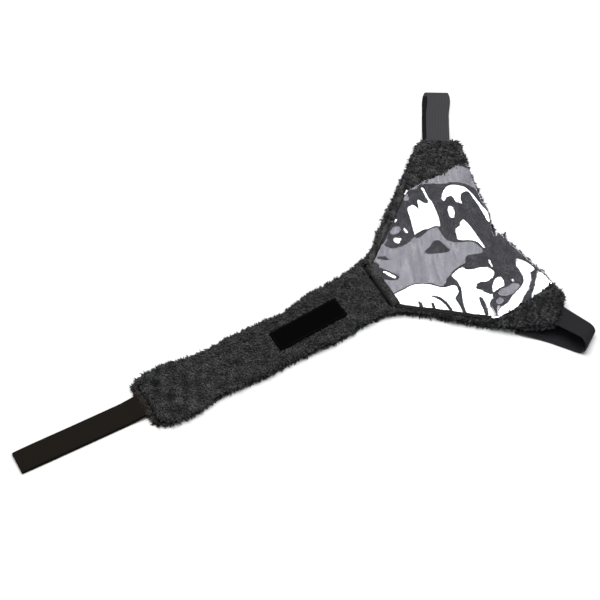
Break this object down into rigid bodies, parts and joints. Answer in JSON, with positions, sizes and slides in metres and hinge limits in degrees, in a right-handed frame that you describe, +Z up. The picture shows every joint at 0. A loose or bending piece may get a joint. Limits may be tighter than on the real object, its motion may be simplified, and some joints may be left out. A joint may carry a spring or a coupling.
{
  "type": "bicycle sweat guard",
  "caption": "Towelling strap that widens into a triangular head with a clear phone pocket, with elastic loops at the ears and the tail, to keep sweat off a bicycle frame.",
  "frame": {"origin": "on the strap's flat underside, on the centre line below the label", "axes": "+X from the tail to the pocket's mouth, +Y to the left ear, +Z up from the face that lies on the bicycle"},
  "size_m": [0.6133, 0.3668, 0.0195],
  "materials": {
    "back_towelling": "charcoal cotton towelling, looped pile",
    "front_towelling": "charcoal cotton towelling, looped pile",
    "clear_film": "clear soft vinyl film, glossy and wrinkled",
    "binding_tape": "flat woven tape, matt black",
    "label_cloth": "close-woven black satin, plain",
    "elastic_webbing": "ribbed black elastic webbing"
  },
  "bodies": {
    "root": {"back_panel": "back_towelling", "front_panel": "front_towelling", "pocket_film": "clear_film", "neck_binding": "binding_tape", "left_side_binding": "binding_tape", "right_side_binding": "binding_tape", "label_patch": "label_cloth", "tail_elastic": "elastic_webbing", "left_handlebar_elastic": "elastic_webbing", "right_handlebar_elastic": "elastic_webbing"}
  },
  "joints": []
}
